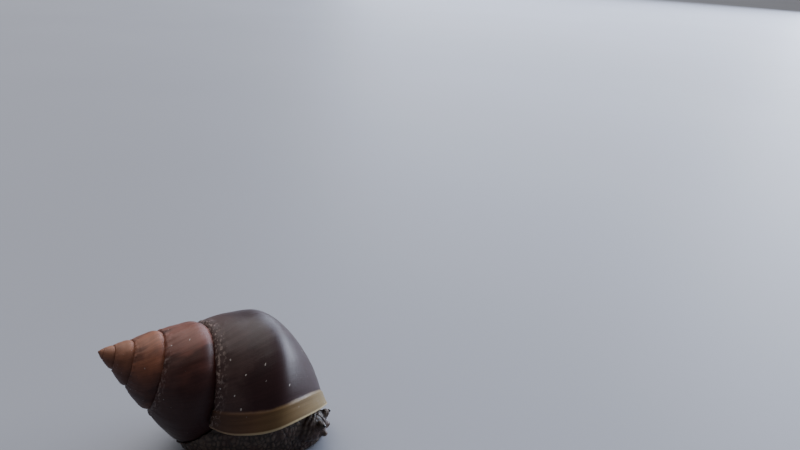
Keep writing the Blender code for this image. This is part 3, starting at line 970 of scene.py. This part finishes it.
class Head:
    """The head's middle and directions, and the tentacles drawn in to knobs on it."""

    def __init__(self):
        self.middle = middle_of("head")
        self.eyes = [middle_of("eye_left"), middle_of("eye_right")]
        knobs = ["upper_tentacle_left", "upper_tentacle_right"]
        knobs += ["lower_tentacle_left", "lower_tentacle_right"]
        self.knobs = [middle_of(name) for name in knobs]
        self.facing = (self.eyes[0] + self.eyes[1]) / 2 - self.middle
        self.facing.z = 0.0
        self.facing.normalize()
        self.side = Vector((-self.facing.y, self.facing.x, 0.0))

    def relief(self, place):
        """How far the head's skin stands out at a place."""
        out = place - self.middle
        ahead, across, up = out.dot(self.facing), abs(out.dot(self.side)), out.z
        height = mouth_relief(across, up)
        if up > 0.0:
            height -= GROOVE_DEPTH * bell(across - GROOVE_SIDE, GROOVE_WIDTH)
        height *= limited((ahead - FACE_START) / FACE_BLEND)
        rings = math.sin((ahead - 0.3 * up) * NECK_RINGS + 2.0 * noise.noise(place * 400.0))
        height += RING_HEIGHT * rings * limited((NECK_START - ahead) / NECK_BLEND)
        for knob in self.knobs:
            height += knob_relief((place - knob).length)
        return height


def mouth_relief(across, up):
    """The mouth's slit under its upper lip, the cleft below it and a palp on each side."""
    up += MOUTH_CURVE * MOUTH_WIDTH * (across / MOUTH_WIDTH) ** 2 - MOUTH_HEIGHT
    within = 1.0 if across < MOUTH_WIDTH else bell(across - MOUTH_WIDTH, 0.0003)
    height = -MOUTH_DEPTH * bell(up, 0.00028) * within
    height += UPPER_LIP_HEIGHT * bell(up - UPPER_LIP, 0.00045) * within
    height += PALP_HEIGHT * bell(across - PALP_SIDE, 0.0008) * bell(up + PALP_DROP, 0.0009)
    if up < 0.0:
        height -= CLEFT_DEPTH * bell(across, CLEFT_WIDTH)
    return height


def knob_relief(away):
    """A drawn-in tentacle: a swelling with fine rings, and a groove round it."""
    height = KNOB_SWELLING * bell(away, KNOB_RADIUS)
    height -= KNOB_GROOVE_DEPTH * bell(away - KNOB_GROOVE, KNOB_GROOVE_WIDTH)
    rings = math.sin(away * KNOB_RINGS) * bell(away - 0.0014, 0.0006)
    return height + KNOB_RING_HEIGHT * rings


def warp_at(place):
    """A smooth random shift, which stays the same from run to run."""
    return Vector([noise.noise(place + WARP_APART * axis) for axis in range(3)])


def foot_relief(place):
    """Slack folds, creases down the sides, the foot's edge, and rows of tubercles."""
    warp = warp_at(place * 260.0)
    along = Vector((place.x * 0.8, place.y * 0.8, place.z * 0.6)) + WARP_SIZE * warp
    nearest = noise.voronoi(along / TUBERCLE)[0]
    tubercle = min(1.0, (nearest[1] - nearest[0]) * TUBERCLE_SLOPE)
    slack = noise.noise(Vector((place.x * 150.0, place.y * 150.0, place.z * 70.0)))
    down = Vector((place.x * 300.0, place.y * 300.0, place.z * 90.0)) + 0.5 * warp
    crease = max(0.0, CREASE_WIDTH - abs(noise.noise(down))) / CREASE_WIDTH
    height = TUBERCLE_HEIGHT * (tubercle - 1.0) + SLACK_HEIGHT * slack
    height -= CREASE_DEPTH * crease * crease
    height -= FOOT_EDGE_DEPTH * bell(place.z - FOOT_EDGE, FOOT_EDGE_WIDTH)
    return height, tubercle


class Regions:
    """Tells which part of the body a place belongs to, by the nearest nodes of flesh."""

    def __init__(self):
        self.feet = surface_of(["foot_front", "foot_middle", "foot_tail"])
        self.heads = surface_of([n for n in FLESH_NODES if "head" in n or "tentacle" in n])
        self.collars = surface_of(["mantle_collar"])

    def at(self, place):
        """How much the place belongs to the head, and to the mantle."""
        on_head = share_of(place, self.heads, self.feet)
        on_mantle = share_of(place, self.collars, self.feet) * (1.0 - on_head)
        return on_head, on_mantle


def on_the_floor(place):
    """The place, moved down to the floor where it is near the sole, and never below it."""
    low = 1.0 - limited((place.z - SOLE) / SOLE_RISE)
    return (place.x, place.y, max(0.0, place.z - SKIN_DEPTH * low))


def sculpt_skin(skin):
    """Moves each point of the skin by its relief, and keeps values for the colours."""
    head, regions = Head(), Regions()
    folds, mantles, moved = [], [], []
    for point in skin.data.vertices:
        on_head, on_mantle = regions.at(point.co)
        height, tubercle = foot_relief(point.co)
        height *= 1.0 - 0.60 * on_head - 0.75 * on_mantle
        height += on_head * head.relief(point.co)
        free = limited((point.co.z - SOLE) / SOLE_BLEND)
        moved.append(point.co + point.normal * height * free)
        # Painted highlight and shade: raised tops and tubercles lighter, hollows darker
        folds.append(limited(0.5 * tubercle + 0.4 + height * PAINTED_RELIEF_LIGHT))
        mantles.append(on_mantle)
    for point, place in zip(skin.data.vertices, moved):
        point.co = on_the_floor(place)
    add_values(skin, "fold", np.array(folds))
    add_values(skin, "mantle", np.array(mantles))


def make_skin():
    """One skin over all the flesh."""
    skin = joined_flesh()
    sculpt_skin(skin)
    skin.data.shade_smooth()
    return skin


# Eyes and columella


def make_eye(word):
    """A round glossy bead, sunk in the tip of the drawn-in tentacle."""
    low, high = (Vector(c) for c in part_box("eye_" + word))
    middle = (low + high) / 2
    inward = (middle_of("head") - middle).normalized()
    deselect_all()
    bpy.ops.mesh.primitive_uv_sphere_add(
        segments=32,
        ring_count=20,
        radius=EYE_SHARE * max(high - low) / 2,
        location=middle + inward * EYE_SUNK,
    )
    eye = bpy.context.object
    eye.name = "eyeball_" + word
    eye.data.name = eye.name
    bpy.ops.object.transform_apply(location=True, rotation=True, scale=True)
    bpy.ops.object.shade_smooth()
    return eye


def twisted_pillar(length):
    """One ring of edges, drawn out and turned step by step."""
    deselect_all()
    bpy.ops.mesh.primitive_circle_add(
        vertices=COLUMELLA_CORNERS, radius=COLUMELLA_WIDTH, fill_type="NGON"
    )
    pillar = bpy.context.object
    pillar.name = "columella"
    bpy.ops.object.mode_set(mode="EDIT")
    bpy.ops.mesh.select_all(action="SELECT")
    bpy.ops.transform.resize(value=(1.0, COLUMELLA_FLATNESS, 1.0))
    step = (0.0, 0.0, length / COLUMELLA_STEPS)
    for _ in range(COLUMELLA_STEPS):
        bpy.ops.mesh.extrude_region_move(TRANSFORM_OT_translate={"value": step})
        bpy.ops.transform.rotate(
            value=COLUMELLA_TWIST, orient_axis="Z", center_override=(0.0, 0.0, 0.0)
        )
    bpy.ops.mesh.select_all(action="SELECT")
    bpy.ops.mesh.normals_make_consistent(inside=False)
    bpy.ops.object.mode_set(mode="OBJECT")
    return pillar


def make_columella():
    """The twisted pillar on the shell's axis."""
    top = plain_suture(COLUMELLA_TURN)[1]
    bottom = BASE_DEPTH * suture_depth(LIP_TURN - 1.0 + COLUMELLA_REACH)
    length = bottom - top
    pillar = twisted_pillar(length)
    turned = Vector(AXIS).to_track_quat("Z", "Y").to_matrix().to_4x4()
    start = middle_of("shell_columella") - Vector(AXIS) * length / 2
    pillar.data.transform(Matrix.Translation(start) @ turned)
    bpy.ops.object.shade_smooth_by_angle(angle=math.radians(40))
    return pillar


# Stage, light and camera


def make_floor():
    deselect_all()
    bpy.ops.mesh.primitive_plane_add(size=FLOOR_SIZE, location=(0.0, 0.0, 0.0))
    floor = bpy.context.object
    floor.name = "floor"
    floor.data.materials.append(make_floor_material())


def soft_light(name, place, size, power, shade):
    """A large area lamp that faces the snail."""
    lamp = bpy.data.lights.new(name, "AREA")
    lamp.shape = "RECTANGLE"
    lamp.size, lamp.size_y = size
    lamp.energy = power
    lamp.color = shade
    made = bpy.data.objects.new(name, lamp)
    bpy.context.scene.collection.objects.link(made)
    made.location = place
    toward = LAMP_TARGET - Vector(place)
    made.rotation_euler = toward.to_track_quat("-Z", "Y").to_euler()
    made.visible_camera = False


def make_sky_light():
    """A very soft lamp from behind and above, the same all over the floor."""
    lamp = bpy.data.lights.new("sky_light", "SUN")
    lamp.energy = SKY_STRENGTH
    lamp.angle = SKY_WIDTH
    lamp.color = SKY_SHADE
    made = bpy.data.objects.new("sky_light", lamp)
    bpy.context.scene.collection.objects.link(made)
    made.rotation_euler = SKY_DIRECTION.to_track_quat("-Z", "Y").to_euler()


def make_lights():
    make_sky_light()
    soft_light("window_light", (1.90, 1.90, 1.15), (3.4, 2.0), 118.0, (0.74, 0.82, 1.0))
    soft_light("side_light", (2.60, 0.75, 0.75), (2.2, 1.4), 82.0, (0.78, 0.85, 1.0))
    world = bpy.data.worlds.new("studio")
    world.use_nodes = True
    background = world.node_tree.nodes["Background"]
    background.inputs["Color"].default_value = colour(0.80, 0.84, 0.94)
    background.inputs["Strength"].default_value = STUDIO_STRENGTH
    bpy.context.scene.world = world


def make_camera():
    lens = bpy.data.cameras.new("camera")
    lens.sensor_width = 36.0
    lens.lens = CAMERA_LENS
    lens.clip_start = 0.01
    camera = bpy.data.objects.new("camera", lens)
    bpy.context.scene.collection.objects.link(camera)
    turned = (
        Matrix.Rotation(-CAMERA_HEADING, 4, "Z")
        @ Matrix.Rotation(math.pi / 2 - CAMERA_PITCH, 4, "X")
        @ Matrix.Rotation(CAMERA_ROLL, 4, "Z")
    )
    camera.matrix_world = Matrix.Translation(Vector(ORIGIN) + CAMERA_PLACE) @ turned
    bpy.context.scene.camera = camera


def finish_piece(piece, finish, replaced):
    """Gives a piece its material and its place on the model, and hides the nodes it stands for.
    """
    piece.data.materials.clear()
    piece.data.materials.append(finish)
    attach(piece, "root")
    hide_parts(*replaced)


def write_sizes():
    bpy.context.view_layer.update()


make_camera()
finish_piece(make_shell(), make_shell_material(), SHELL_NODES)
finish_piece(make_columella(), make_columella_material(), ["shell_columella"])
finish_piece(make_skin(), make_skin_material(), FLESH_NODES)
eye_finish = make_eye_material()
for side in ("left", "right"):
    finish_piece(make_eye(side), eye_finish, ["eye_" + side])
make_floor()
make_lights()
write_sizes()
